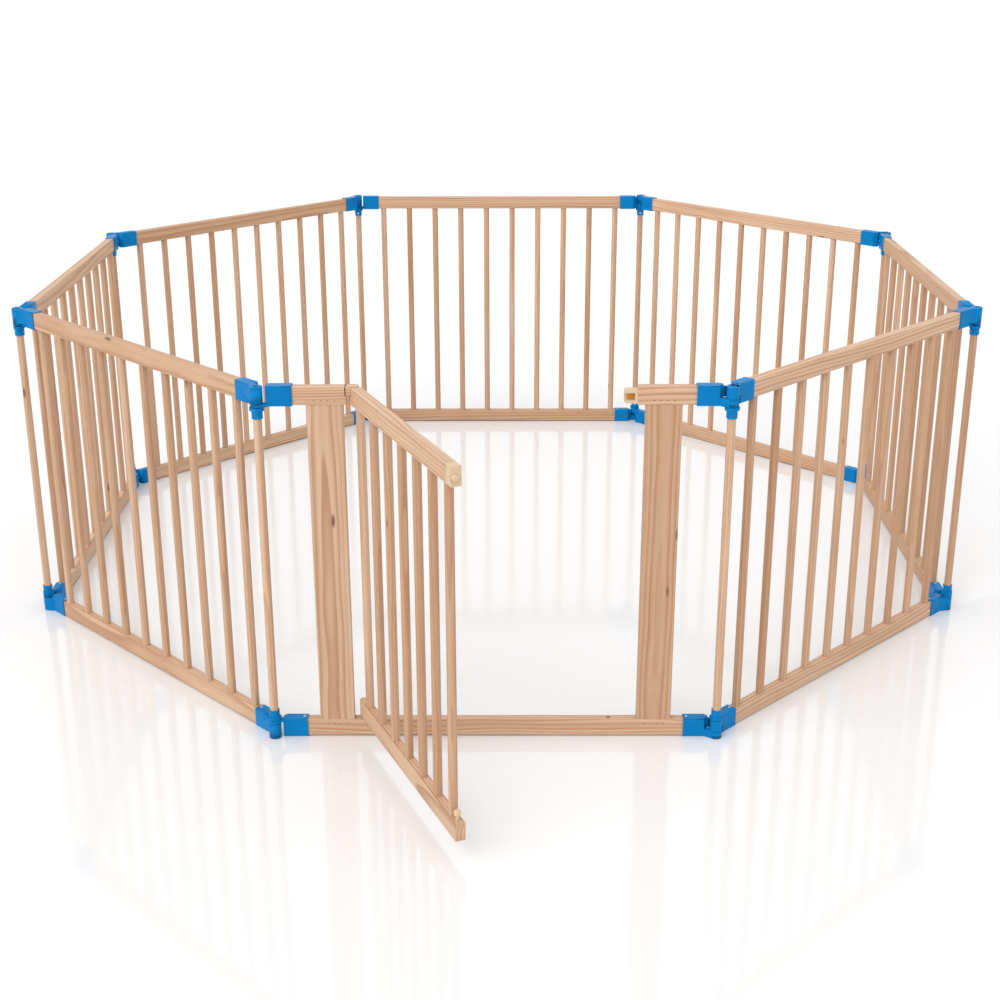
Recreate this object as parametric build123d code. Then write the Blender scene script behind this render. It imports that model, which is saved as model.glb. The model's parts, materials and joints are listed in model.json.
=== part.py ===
from build123d import *
import math
import os

# Wooden playpen: eight barred panels in a ring, joined by plastic hinge fittings, with a gate in
# the front panel. Millimetres, +Z up, origin on the floor below the middle of the whole object.
# Panels are built along +X from the hinge axis at their left end, with +Y towards the inside,
# and are then turned into the ring.

# ---- ring and panels -------------------------------------------------------------------------
panel_names = ("gate_panel", "right_front_panel", "right_panel", "right_back_panel",
               "back_panel", "left_back_panel", "left_panel", "left_front_panel")
panel_pitch = 900.0            # from one corner hinge axis to the next
overall_height = 745.0         # floor to the top of the corner fittings
rail_height = 36.0
rail_thickness = 20.0
rail_edge_radius = 1.5
bar_diameter = 17.0
bar_count = 10
bar_socket_depth = 14.0
glue_gap = 0.05                # round a glued dowel

# ---- corner fittings -------------------------------------------------------------------------
sleeve_wall = 2.0
sleeve_clearance = 0.1         # between a rail and its sleeve
sleeve_start = 17.0            # hinge axis to the near end of a sleeve
sleeve_end = 67.0              # hinge axis to the mouth of a sleeve
sleeve_edge_radius = 2.0
sleeve_mouth_radius = 3.5
pocket_floor_thickness = 3.0
mitre_clearance = 0.7          # each side, when two panels stand square
knuckle_radius = 14.5
lower_knuckle_height = 16.0
knuckle_gap = 0.6
tall_knuckle_corners = (0, 2, 5, 7)   # corner n is the left end of panel n
tall_knuckle_height = 34.0
ear_radius = 12.5              # of the thin knuckle that shares a pin with a tall one
lip_clearance = 1.0            # between a sleeve's lip and the neighbour's knuckle
knuckle_notch = 7.0            # cut in a sleeve beside the neighbour's knuckle
web_reach = 4.0                # of a knuckle's web into its sleeve
pin_radius = 7.0
running_clearance = 0.08       # radial, of turning and sliding pins

# ---- corner posts and their sockets ----------------------------------------------------------
post_diameter = 17.0
collar_radius = 12.5
collar_height = 7.0
collar_lug_width = 7.0
collar_lug_reach = 1.6
cup_wall = 2.2
cup_height = 15.0
socket_floor = 4.0
pin_hollow_radius = 4.2
pin_hollow_depth = 12.0
pin_end_recess = 0.5

# ---- screws ----------------------------------------------------------------------------------
screw_head_radius = 3.2
screw_head_height = 1.6
screw_shank_radius = 1.6
screw_length = 16.0
screw_mouth_distance = 7.0     # from the sleeve's mouth
screw_slot_width = 0.9
screw_slot_depth = 0.8
screw_hole_clearance = 0.05
collar_screw_length = 9.0

# ---- gate frame ------------------------------------------------------------------------------
hinge_stub_length = 102.0      # short top rail beyond its sleeve, hinge side
latch_stub_length = 112.0      # the same, latch side
board_width = 70.0
board_thickness = 18.0
board_inset = 26.0             # from the sleeve's mouth
tenon_thickness = 10.0
tenon_shoulder = 6.0
tenon_length = 20.0
mortise_clearance = 0.1
brad_radius = 1.0
brad_length = 15.0
brad_count = 4
brad_spacing = 13.0
brad_edge_distance = 9.0       # from the rail's edge beside the board
board_hole_radius = 2.5
board_hole_drop = 16.0

# ---- gate leaf -------------------------------------------------------------------------------
gate_open_angle = 66.0         # as it stands here, from closed
gate_length = 510.0            # hinge axis to the free end
gate_bar_count = 7
gate_bar_first = 34.0
gate_bar_spacing = 74.0
lap_setback = 15.0             # hinge axis to the shoulder of each half lap
lap_gap = 0.4
gate_lift = 4.0                # gap between the sill and the leaf
hinge_pin_radius = 3.0
hinge_pin_cover = 3.0          # wood left over the hidden ends of the top pin
hinge_pin_grip = 16.0          # of the lower pin in each rail
washer_radius = 8.0
washer_clearance = 0.3

# ---- latch -----------------------------------------------------------------------------------
cap_length = 20.0
cap_edge_radius = 1.5
cap_tenon_length = 10.0
cap_tenon_cover = 3.0          # wood between the tenon and the bars
nub_radius = 6.4
nub_length = 20.0
nub_reach = 6.0                # beyond the cap
nub_travel = 6.0
nub_drop = 2.0                 # below the middle of the rail
nub_offset = 2.4               # from the middle of the rail towards the outside
nub_bore_spare = 0.6
nub_dome_radius = 2.5
cap_hole_radius = 1.6
gate_end_gap = 2.0             # between the cap and the striker
striker_height = 26.0
striker_edge_radius = 4.0
striker_tenon_length = 9.0
striker_end_wall = 5.0
striker_slot_clearance = 0.8
buffer_thickness = 2.0
bolt_radius = 3.5
bolt_end_distance = 13.0       # from the free end of the leaf
bolt_travel = 8.0
bolt_tip_below_leaf = 3.0
bolt_hole_depth = 14.0
bolt_hole_clearance = 1.2
bolt_knob_radius = 6.5
bolt_knob_height = 11.0
bolt_knob_edge_radius = 2.0

# ---- worked out from the sizes above ---------------------------------------------------------
panel_count = len(panel_names)
corner_angle = 360.0 / panel_count
apothem = panel_pitch / 2 / math.tan(math.radians(corner_angle / 2))
sleeve_margin = sleeve_wall + sleeve_clearance
sleeve_thickness = rail_thickness + 2 * sleeve_margin
sleeve_height = rail_height + 2 * sleeve_margin
rail_y = sleeve_thickness / 2                      # the hinge axis lies on the sleeve's outer face
top_fitting_z = overall_height - sleeve_height
bottom_rail_z = sleeve_margin
top_rail_z = top_fitting_z + sleeve_margin
sill_top = bottom_rail_z + rail_height
rail_top = top_rail_z + rail_height
rail_start = sleeve_thickness + mitre_clearance + pocket_floor_thickness
web_inner = sleeve_start - 2 * web_reach           # inner face of a knuckle's web
bar_radius = bar_diameter / 2
bar_spacing = panel_pitch / (bar_count + 1)
post_radius = post_diameter / 2
cup_radius = post_radius + glue_gap + cup_wall
screw_x = sleeve_end - screw_mouth_distance
hinge_stub_end = sleeve_end + hinge_stub_length
latch_stub_end = panel_pitch - sleeve_end - latch_stub_length
gate_axis_x = hinge_stub_end + lap_setback
leaf_bottom = sill_top + gate_lift
leaf_rail_end = gate_length - cap_length
nub_z = top_rail_z + rail_height / 2 - nub_drop
striker_start = gate_axis_x + gate_length + gate_end_gap
striker_length = latch_stub_end - striker_start
bolt_x = gate_length - bolt_end_distance


def block(x0, x1, y0, y1, z0, z1):
    """Box between two corners."""
    return Pos((x0 + x1) / 2, (y0 + y1) / 2, (z0 + z1) / 2) * Box(x1 - x0, y1 - y0, z1 - z0)


def rod(x, y, z0, z1, radius):
    """Upright cylinder between two heights."""
    return Pos(x, y, (z0 + z1) / 2) * Cylinder(radius, z1 - z0)


def rod_y(x, z, y0, y1, radius):
    """Level cylinder across a panel."""
    return Pos(x, (y0 + y1) / 2, z) * Rot(90, 0, 0) * Cylinder(radius, y1 - y0)


def rod_x(y, z, x0, x1, radius):
    """Level cylinder along a panel."""
    return Pos((x0 + x1) / 2, y, z) * Rot(0, 90, 0) * Cylinder(radius, x1 - x0)


def long_rail(x0, x1, z0, y=rail_y):
    """Plain rail with its four long edges eased."""
    rail = block(x0, x1, y - rail_thickness / 2, y + rail_thickness / 2, z0, z0 + rail_height)
    return fillet(rail.edges().filter_by(Axis.X), rail_edge_radius)


def mirrored_end(piece):
    """The same piece at the right-hand end of a panel."""
    return piece.mirror(Plane.YZ).moved(Location((panel_pitch, 0, 0)))


def flipped(piece):
    """The same piece upside down, for the other end of a post."""
    return piece.mirror(Plane.XY).moved(Location((0, 0, overall_height)))


# ---- corner fittings -------------------------------------------------------------------------
def knuckle_span(low, tall):
    """Heights of a panel's own knuckle within a fitting; low panels have the ear beside a tall one."""
    split = tall_knuckle_height if tall else lower_knuckle_height
    if low != tall:
        return 0.0, split
    return split + knuckle_gap, sleeve_height


def sleeve_block():
    """Outside of a sleeve, its inner end mitred so that two panels can stand square."""
    outline = Polyline(
        (sleeve_start, 0),
        (sleeve_end, 0),
        (sleeve_end, sleeve_thickness),
        (sleeve_thickness + mitre_clearance, sleeve_thickness),
        (sleeve_start, sleeve_start - mitre_clearance),
        close=True,
    )
    body = extrude(make_face(outline), sleeve_height)
    body = fillet(body.edges().filter_by(Axis.X), sleeve_edge_radius)
    mouth = body.faces().sort_by(Axis.X)[-1]
    return fillet(mouth.edges().filter_by(Axis.Y), sleeve_mouth_radius)


def knuckle(low, tall):
    """Hinge knuckle and the web, tangent to it, that joins it to its sleeve."""
    z0, z1 = knuckle_span(low, tall)
    radius = ear_radius if low and tall else knuckle_radius
    web_end = sleeve_start + web_reach
    tangent = math.acos(radius / web_end)
    outline = Polyline(
        (0, 0),
        (radius * math.cos(tangent), -radius * math.sin(tangent)),
        (web_end, 0),
        (web_end, web_inner),
        (0, web_inner),
        close=True,
    )
    web = Pos(0, 0, z0) * extrude(make_face(outline), z1 - z0)
    return web + rod(0, 0, z0, z1, radius)


def sleeve_lip(z0, z1):
    """Lip of a sleeve that follows the neighbour's knuckle, inside the mitre."""
    x1 = sleeve_start + 1
    front = web_inner + lip_clearance / 2
    behind_mitre = mitre_clearance * 1.5
    outline = Polyline(
        (front + behind_mitre, front),
        (x1, front),
        (x1, x1 - behind_mitre),
        close=True,
    )
    lip = Pos(0, 0, z0) * extrude(make_face(outline), z1 - z0)
    return lip - rod(0, 0, z0 - 1, z1 + 1, knuckle_radius + lip_clearance)


def corner_fitting(low, tall):
    """Sleeve with one knuckle, at the left end of a panel, standing on z = 0."""
    body = sleeve_block()
    if not tall:
        z0, z1 = knuckle_span(not low, tall)
        body -= block(sleeve_start - 1, sleeve_start + knuckle_notch, -1, web_inner,
                      z0 - knuckle_gap, z1 + knuckle_gap)
        edge = sleeve_edge_radius * 1.5
        body += sleeve_lip(max(z0, edge), min(z1, sleeve_height - edge))
    pocket = block(rail_start, sleeve_end + 1, sleeve_wall, sleeve_thickness - sleeve_wall,
                   sleeve_wall, sleeve_height - sleeve_wall)
    bore = rod(0, 0, -1, sleeve_height + 1, pin_radius + running_clearance)
    return body + knuckle(low, tall) - pocket - bore


def drilled_fitting(low, tall, top):
    """Fitting at its height, with the hole for its rail screw; tall ones turn over at the top."""
    fitting = corner_fitting(low, tall)
    if top:
        fitting = flipped(fitting) if tall else fitting.moved(Location((0, 0, top_fitting_z)))
    face = top_fitting_z if top else sleeve_height
    hole = rod(screw_x, rail_y, face - sleeve_wall - 1, face + sleeve_wall + 1,
               screw_shank_radius + screw_hole_clearance)
    return fitting - hole


def corner_fittings(index):
    """The four fittings of one panel: both at its left end, then both at its right end."""
    low = index % 2 == 0
    tall_left = index in tall_knuckle_corners
    tall_right = (index + 1) % panel_count in tall_knuckle_corners
    left = [drilled_fitting(low, tall_left, top) for top in (False, True)]
    right = [drilled_fitting(low, tall_right, top) for top in (False, True)]
    return left + [mirrored_end(piece) for piece in right]


def rail_screw():
    """Pan-head screw standing on z = 0, shank down."""
    head = Pos(0, 0, screw_head_height / 2) * Cylinder(screw_head_radius, screw_head_height)
    head = fillet(head.edges().sort_by(Axis.Z)[-1], screw_head_height / 2)
    shank = rod(0, 0, -screw_length, 0, screw_shank_radius)
    slot_z = screw_head_height - screw_slot_depth
    slots = [block(-x, x, -y, y, slot_z, screw_head_height + 1)
             for x, y in ((screw_head_radius * 0.6, screw_slot_width / 2),
                          (screw_slot_width / 2, screw_head_radius * 0.6))]
    return head + shank - slots[0] - slots[1]


def rail_screws():
    """One screw in each sleeve: down into the bottom rail and up into the top rail."""
    low_screw = rail_screw().moved(Location((screw_x, rail_y, sleeve_height)))
    left = [low_screw, flipped(low_screw)]
    return left + [mirrored_end(piece) for piece in left]


def screw_holes():
    """Pilot holes of the rail screws at both ends of a panel."""
    depth = screw_length + 1
    radius = screw_shank_radius + screw_hole_clearance
    low_hole = rod(screw_x, rail_y, sleeve_height - depth, sleeve_height, radius)
    left = [low_hole, flipped(low_hole)]
    return left + [mirrored_end(piece) for piece in left]


# ---- corner posts ----------------------------------------------------------------------------
def post_socket_top():
    """Top socket: pin up through both knuckles, stepped collar and a cup for the post."""
    pin_top = overall_height - pin_end_recess
    collar_z = top_fitting_z - collar_height
    cup_z = collar_z - cup_height
    body = rod(0, 0, top_fitting_z, pin_top, pin_radius)
    body += rod(0, 0, collar_z, top_fitting_z, collar_radius)
    lug = collar_radius + collar_lug_reach
    body += block(-lug, lug, -collar_lug_width / 2, collar_lug_width / 2, collar_z, top_fitting_z)
    body += rod(0, 0, cup_z, collar_z, cup_radius)
    body -= rod(0, 0, pin_top - pin_hollow_depth, pin_top + 1, pin_hollow_radius)
    return body - rod(0, 0, cup_z - 1, post_top(), post_radius + glue_gap)


def post_top():
    """Height of the top end of a corner post."""
    return top_fitting_z - socket_floor


def collar_screw_z():
    """Height of the screw in the top socket's cup."""
    return top_fitting_z - collar_height - cup_height / 2


def collar_screw_hole():
    """Hole through the cup and into the post, on the inner side."""
    return rod_y(0, collar_screw_z(), 0, cup_radius + 1, screw_shank_radius + screw_hole_clearance)


def seat_flat():
    """Flat on the cup under the collar screw's head."""
    face = cup_radius - 0.5
    return rod_y(0, collar_screw_z(), face, face + 3, screw_head_radius + 0.5)


def post_sockets():
    """Top and bottom sockets at both corners of a panel."""
    top = post_socket_top() - collar_screw_hole() - seat_flat()
    bottom = flipped(top).moved(Location((0, 0, knuckle_gap)))
    left = [top, bottom]
    return left + [mirrored_end(piece) for piece in left]


def corner_posts():
    """Round posts at both corners of a panel."""
    bottom = overall_height - post_top() + knuckle_gap
    post = rod(0, 0, bottom, post_top(), post_radius)
    low_hole = flipped(collar_screw_hole()).moved(Location((0, 0, knuckle_gap)))
    post = post - collar_screw_hole() - low_hole
    return [post, mirrored_end(post)]


def collar_screws():
    """Short screws that hold the posts in their cups."""
    screw = rail_screw() - rod(0, 0, -screw_length - 1, -collar_screw_length, screw_shank_radius + 1)
    top = screw.moved(Pos(0, cup_radius - 0.5, collar_screw_z()) * Rot(-90, 0, 0))
    bottom = flipped(top).moved(Location((0, 0, knuckle_gap)))
    left = [top, bottom]
    return left + [mirrored_end(piece) for piece in left]


# ---- barred panels ---------------------------------------------------------------------------
def bars(first, spacing, count, z0, z1, y=rail_y):
    """Row of round bars, let into the rails at both ends."""
    bottom = z0 - bar_socket_depth
    top = z1 + bar_socket_depth
    return [rod(first + i * spacing, y, bottom, top, bar_radius) for i in range(count)]


def bar_sockets(first, spacing, count, z0, z1, y=rail_y):
    """Blind holes for a row of bars, a little deeper than the bars reach."""
    bottom = z0 - bar_socket_depth - glue_gap
    top = z1 + bar_socket_depth + glue_gap
    return [rod(first + i * spacing, y, bottom, top, bar_radius + glue_gap) for i in range(count)]


def standard_rails():
    """Bottom and top rails of a barred panel."""
    tools = bar_sockets(bar_spacing, bar_spacing, bar_count, sill_top, top_rail_z) + screw_holes()
    end = panel_pitch - rail_start
    return [long_rail(rail_start, end, z) - tools for z in (bottom_rail_z, top_rail_z)]


def standard_panel(low):
    """Nodes of one barred panel."""
    bottom_rail, top_rail = standard_rails()
    nodes = {
        "top_rail": [top_rail],
        "bottom_rail": [bottom_rail],
        "bars": bars(bar_spacing, bar_spacing, bar_count, sill_top, top_rail_z),
        "screws": rail_screws(),
    }
    if low:
        nodes.update(post_nodes(nodes["screws"]))
    return nodes


def post_nodes(screws):
    """Posts, their sockets and the panel's screws with the collar screws added."""
    return {
        "corner_posts": corner_posts(),
        "post_sockets": post_sockets(),
        "screws": screws + collar_screws(),
    }


# ---- gate frame ------------------------------------------------------------------------------
def board_starts():
    """Left edges of the two boards beside the gate."""
    return sleeve_end + board_inset, panel_pitch - sleeve_end - board_inset - board_width


def tenon(x, gap=0.0):
    """Tenons of a board as one upright block, or its mortises with a gap all round."""
    half = tenon_thickness / 2 + gap
    return block(x + tenon_shoulder - gap, x + board_width - tenon_shoulder + gap,
                 rail_y - half, rail_y + half,
                 sill_top - tenon_length - gap, top_rail_z + tenon_length + gap)


def brad_points():
    """Where the brads of both boards enter the outer faces of the rails."""
    points = []
    for start in board_starts():
        first = start + board_width / 2 - brad_spacing * (brad_count - 1) / 2
        for i in range(brad_count):
            x = first + i * brad_spacing
            points += [(x, sill_top - brad_edge_distance), (x, top_rail_z + brad_edge_distance)]
    return points


def brads(gap=0.0):
    """Brads flush with the outer face, or their holes."""
    face = rail_y - rail_thickness / 2
    return [rod_y(x, z, face - gap, face + brad_length + gap, brad_radius + gap)
            for x, z in brad_points()]


def gate_boards():
    """Flat upright boards, tenoned into the sill and the short top rails."""
    boards = []
    half = board_thickness / 2
    for x in board_starts():
        board = block(x, x + board_width, rail_y - half, rail_y + half, sill_top, top_rail_z)
        board = fillet(board.edges().filter_by(Axis.Z), rail_edge_radius)
        boards.append(board + tenon(x))
    hinge_board, latch_board = boards
    hole_z = top_rail_z - board_hole_drop
    edge = board_starts()[1]
    latch_board -= rod_x(rail_y, hole_z, edge - 1, edge + board_hole_drop, board_hole_radius)
    holes = brads(glue_gap)
    return [hinge_board - holes, latch_board - holes]


def gate_sill():
    """Bottom rail under the gate, with the lower hinge bore and the bolt's catch hole."""
    tools = screw_holes() + brads(glue_gap)
    tools += [tenon(x, mortise_clearance) for x in board_starts()]
    tools.append(rod(gate_axis_x, rail_y, sill_top - hinge_pin_grip - 1, sill_top + 1,
                     hinge_pin_radius + running_clearance))
    tools.append(rod(gate_axis_x + bolt_x, rail_y, sill_top - bolt_hole_depth, sill_top + 1,
                     bolt_radius + bolt_hole_clearance))
    return long_rail(rail_start, panel_pitch - rail_start, bottom_rail_z) - tools


def lap_tongue(z0, z1, y=rail_y, x=0.0, direction=1):
    """Rounded half-lap tongue round the hinge axis, reaching back to its shoulder."""
    half = rail_thickness / 2
    x0, x1 = sorted((x, x - direction * (lap_setback + 1)))
    return block(x0, x1, y - half, y + half, z0, z1) + rod(x, y, z0, z1, half)


def lap_split():
    """Height at which the half laps of the top hinge part."""
    return top_rail_z + rail_height / 2


def top_pin_span():
    """Ends of the hidden pin of the top hinge."""
    return top_rail_z + hinge_pin_cover, rail_top - hinge_pin_cover


def hinge_side_rail():
    """Short top rail with the upper tongue of the gate's top hinge."""
    body = long_rail(rail_start, hinge_stub_end, top_rail_z)
    body += lap_tongue(lap_split() + lap_gap / 2, rail_top, x=gate_axis_x)
    tools = screw_holes() + brads(glue_gap) + [tenon(board_starts()[0], mortise_clearance)]
    tools.append(rod(gate_axis_x, rail_y, lap_split() - 1, top_pin_span()[1] + lap_gap,
                     hinge_pin_radius + running_clearance))
    return body - tools


def striker_tenon(gap=0.0):
    """Peg of the striker in the end of the short rail, or its mortise."""
    half = tenon_thickness / 2 + gap
    return block(latch_stub_end, latch_stub_end + striker_tenon_length + gap,
                 rail_y - half, rail_y + half, nub_z - half, nub_z + half)


def latch_side_rail():
    """Short top rail that carries the striker."""
    body = long_rail(latch_stub_end, panel_pitch - rail_start, top_rail_z)
    tools = screw_holes() + brads(glue_gap)
    tools += [tenon(board_starts()[1], mortise_clearance), striker_tenon(mortise_clearance)]
    return body - tools


def striker_pocket():
    """Front and end opening that the nub swings into, as x0, x1, y0, y1, half height."""
    back = rail_y - nub_offset + nub_radius + striker_slot_clearance
    front = rail_y - rail_thickness / 2
    end = latch_stub_end - striker_end_wall
    return striker_start, end, front, back, nub_radius + striker_slot_clearance


def latch_striker():
    """Striker on the end of the short rail, open to the outside and towards the gate."""
    half = rail_thickness / 2
    body = block(striker_start, latch_stub_end, rail_y - half, rail_y + half,
                 nub_z - striker_height / 2, nub_z + striker_height / 2)
    free_end = body.faces().sort_by(Axis.X)[0]
    body = fillet(free_end.edges().filter_by(Axis.Y), striker_edge_radius)
    x0, x1, y0, y1, half_height = striker_pocket()
    pocket = block(x0 - 1, x1, y0 - 1, y1, nub_z - half_height, nub_z + half_height)
    return body - pocket + striker_tenon()


def striker_buffer():
    """Soft pad on the back wall of the striker's pocket."""
    _, x1, _, y1, half_height = striker_pocket()
    gap = mortise_clearance
    nub_end = gate_axis_x + gate_length + nub_reach
    return block(nub_end + striker_slot_clearance, x1 - gap, y1 - buffer_thickness, y1,
                 nub_z - half_height + gap, nub_z + half_height - gap)


def gate_frame():
    """Nodes of the front panel, without its leaf."""
    return {
        "sill": [gate_sill()],
        "hinge_side_rail": [hinge_side_rail()],
        "latch_side_rail": [latch_side_rail()],
        "boards": gate_boards(),
        "brads": brads(),
        "latch_striker": [latch_striker()],
        "striker_buffer": [striker_buffer()],
        "corner_fittings": corner_fittings(0),
        **post_nodes(rail_screws()),
    }


# ---- gate leaf, closed, its hinge axis at x = 0, y = 0 ----------------------------------------
def leaf_bar_row():
    """First place, spacing, count and clear heights of the leaf's bars."""
    return gate_bar_first, gate_bar_spacing, gate_bar_count, leaf_bottom + rail_height, top_rail_z


def cap_tenon(gap=0.0):
    """Tenon of the end cap in the top rail, or its mortise, above the ends of the bars."""
    half = tenon_thickness / 2 + gap
    bar_end = top_rail_z + bar_socket_depth
    return block(leaf_rail_end - cap_tenon_length - gap, leaf_rail_end, -half, half,
                 bar_end + cap_tenon_cover - gap, rail_top - cap_tenon_cover * 2 + gap)


def leaf_top_rail():
    """Top rail of the leaf, with the lower tongue of the top hinge."""
    body = long_rail(lap_setback, leaf_rail_end, top_rail_z, y=0.0)
    split = lap_split() - lap_gap / 2
    body += lap_tongue(top_rail_z, split, y=0.0, direction=-1)
    tools = bar_sockets(*leaf_bar_row(), y=0.0) + [cap_tenon(mortise_clearance)]
    tools.append(rod(0, 0, top_pin_span()[0], split + 1, hinge_pin_radius + glue_gap))
    return body - tools


def leaf_bottom_rail():
    """Bottom rail of the leaf, rounded at the hinge, bored for the bolt."""
    half = rail_thickness / 2
    body = long_rail(0, gate_length, leaf_bottom, y=0.0)
    body += rod(0, 0, leaf_bottom, leaf_bottom + rail_height, half)
    tools = bar_sockets(*leaf_bar_row(), y=0.0)
    tools.append(rod(0, 0, leaf_bottom - 1, leaf_bottom + hinge_pin_grip,
                     hinge_pin_radius + glue_gap))
    tools.append(rod(bolt_x, 0, leaf_bottom - 1, leaf_bottom + rail_height + 1,
                     bolt_radius + running_clearance))
    return body - tools


def gate_hinge_pins():
    """Hidden steel pins of the two hinges, fast in the leaf."""
    low = rod(0, 0, sill_top - hinge_pin_grip, leaf_bottom + hinge_pin_grip, hinge_pin_radius)
    return [rod(0, 0, *top_pin_span(), hinge_pin_radius), low]


def gate_hinge_washer():
    """Washer between the sill and the leaf."""
    washer = rod(0, 0, sill_top + washer_clearance, leaf_bottom, washer_radius)
    return washer - rod(0, 0, sill_top, leaf_bottom + 1, hinge_pin_radius + glue_gap)


def gate_end_cap():
    """Cap on the free end of the top rail, bored for the nub."""
    half = rail_thickness / 2
    body = block(leaf_rail_end, gate_length, -half, half, top_rail_z, rail_top)
    body = fillet(body.edges().filter_by(Axis.X), cap_edge_radius)
    bore_start = gate_length - (nub_length - nub_reach) - nub_travel - nub_bore_spare
    tail_start = bore_start + nub_radius / 2
    bore = rod_x(-nub_offset, nub_z, tail_start, gate_length + 1, nub_radius + running_clearance)
    hole = rod_y(leaf_rail_end + cap_length / 2, nub_z, -half - 1, 0, cap_hole_radius)
    return body - bore - hole + cap_tenon()


def latch_nub():
    """Round nub that slides in the cap."""
    start = gate_length + nub_reach - nub_length + nub_radius / 2
    body = rod_x(-nub_offset, nub_z, start, gate_length + nub_reach, nub_radius)
    return fillet(body.edges().sort_by(Axis.X)[-1], nub_dome_radius)


def gate_bolt():
    """Upright bolt with its knob, lifted clear of the sill."""
    knob_z = leaf_bottom + rail_height + bolt_travel
    knob = rod(bolt_x, 0, knob_z, knob_z + bolt_knob_height, bolt_knob_radius)
    knob = fillet(knob.edges().filter_by(GeomType.CIRCLE), bolt_knob_edge_radius)
    shaft = rod(bolt_x, 0, leaf_bottom - bolt_tip_below_leaf, knob_z + bolt_travel, bolt_radius)
    shaft = chamfer(shaft.edges().filter_by(GeomType.CIRCLE).sort_by(Axis.Z)[0], bolt_radius / 4)
    return knob + shaft


def gate_leaf():
    """Nodes of the leaf and its latch, in the closed leaf's own frame."""
    return {
        "gate_top_rail": [leaf_top_rail()],
        "gate_bottom_rail": [leaf_bottom_rail()],
        "gate_bars": bars(*leaf_bar_row(), y=0.0),
        "gate_hinge_pins": gate_hinge_pins(),
        "gate_hinge_washer": [gate_hinge_washer()],
        "gate_end_cap": [gate_end_cap()],
        "latch_nub": [latch_nub()],
        "gate_bolt": [gate_bolt()],
    }


# ---- assembly --------------------------------------------------------------------------------
def ring_place(index):
    """Place of a panel in the ring, before the origin is moved."""
    return Rot(0, 0, corner_angle * index) * Pos(-panel_pitch / 2, -apothem, 0)


def assemble():
    """Every node, placed about the middle of the ring."""
    placed = {}
    kinds = {True: standard_panel(True), False: standard_panel(False)}
    for index, name in enumerate(panel_names):
        barred = {**kinds[index % 2 == 0], "corner_fittings": corner_fittings(index)}
        nodes = gate_frame() if index == 0 else barred
        for piece, solids in nodes.items():
            placed[name + "_" + piece] = [solid.moved(ring_place(index)) for solid in solids]
    leaf_place = ring_place(0) * Pos(gate_axis_x, rail_y, 0) * Rot(0, 0, -gate_open_angle)
    for piece, solids in gate_leaf().items():
        placed[piece] = [solid.moved(leaf_place) for solid in solids]
    return placed


def origin_shift(placed):
    """Move that brings the bottom middle of the whole box to the origin."""
    boxes = [solid.bounding_box() for solids in placed.values() for solid in solids]
    x_sum = min(box.min.X for box in boxes) + max(box.max.X for box in boxes)
    y_sum = min(box.min.Y for box in boxes) + max(box.max.Y for box in boxes)
    return Location((-x_sum / 2, -y_sum / 2, -min(box.min.Z for box in boxes)))


def node_shape(solids):
    """One solid, or a compound of separate ones."""
    loose = [solid for shape in solids for solid in shape.solids()]
    return loose[0] if len(loose) == 1 else Compound(children=loose)


if __name__ == "__main__":
    os.makedirs("parts", exist_ok=True)
    placed = assemble()
    shift = origin_shift(placed)
    print("origin shift", shift.position)
    for name, solids in placed.items():
        export_step(node_shape([solid.moved(shift) for solid in solids]), f"parts/{name}.step")
    print(len(placed), "nodes")
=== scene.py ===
import json
import math
import random

import bpy
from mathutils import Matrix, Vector


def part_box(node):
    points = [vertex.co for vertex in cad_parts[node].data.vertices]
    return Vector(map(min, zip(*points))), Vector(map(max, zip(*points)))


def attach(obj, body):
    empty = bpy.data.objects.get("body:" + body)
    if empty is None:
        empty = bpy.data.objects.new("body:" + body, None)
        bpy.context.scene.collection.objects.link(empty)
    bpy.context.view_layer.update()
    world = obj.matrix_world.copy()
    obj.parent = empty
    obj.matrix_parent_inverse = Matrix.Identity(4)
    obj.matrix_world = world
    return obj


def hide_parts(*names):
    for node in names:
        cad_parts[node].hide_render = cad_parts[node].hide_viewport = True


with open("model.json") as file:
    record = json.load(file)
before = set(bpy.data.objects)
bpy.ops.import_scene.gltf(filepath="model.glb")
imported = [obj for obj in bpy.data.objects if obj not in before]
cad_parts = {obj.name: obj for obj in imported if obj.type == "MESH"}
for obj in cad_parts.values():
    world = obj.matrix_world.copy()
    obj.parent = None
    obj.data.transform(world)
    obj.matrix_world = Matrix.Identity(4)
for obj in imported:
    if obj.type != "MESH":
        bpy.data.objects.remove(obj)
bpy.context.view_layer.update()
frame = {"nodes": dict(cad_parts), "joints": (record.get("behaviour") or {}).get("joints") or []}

# ---- The ring ---------------------------------------------------------------------------------
# Eight panels stand in a ring and turn on upright hinge pins at its corners; the front one holds
# the gate. Every panel is made in the front one's place and then turned round the ring's middle.
ring_order = ("gate_panel", "right_front_panel", "right_panel", "right_back_panel",
              "back_panel", "left_back_panel", "left_panel", "left_front_panel")
ring_step = math.tau / len(ring_order)
hinge_place = {joint["name"]: Vector(joint["pos_m"]) for joint in frame["joints"] if "pos_m" in joint}
left_axis = hinge_place["front_left_corner_fold"]
right_axis = hinge_place["front_right_corner_fold"]
panel_pitch = right_axis.x - left_axis.x
ring_middle = Vector((left_axis.x + panel_pitch / 2,
                      left_axis.y + panel_pitch / 2 / math.tan(ring_step / 2), 0))


def select_only(*pieces):
    """Selects these pieces alone and makes the first one active."""
    bpy.ops.object.select_all(action="DESELECT")
    for piece in pieces:
        piece.select_set(True)
    bpy.context.view_layer.objects.active = pieces[0]


def settle(piece):
    """Puts the piece's place into its mesh."""
    select_only(piece)
    bpy.ops.object.transform_apply(location=True, rotation=True, scale=True)
    return piece


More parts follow.
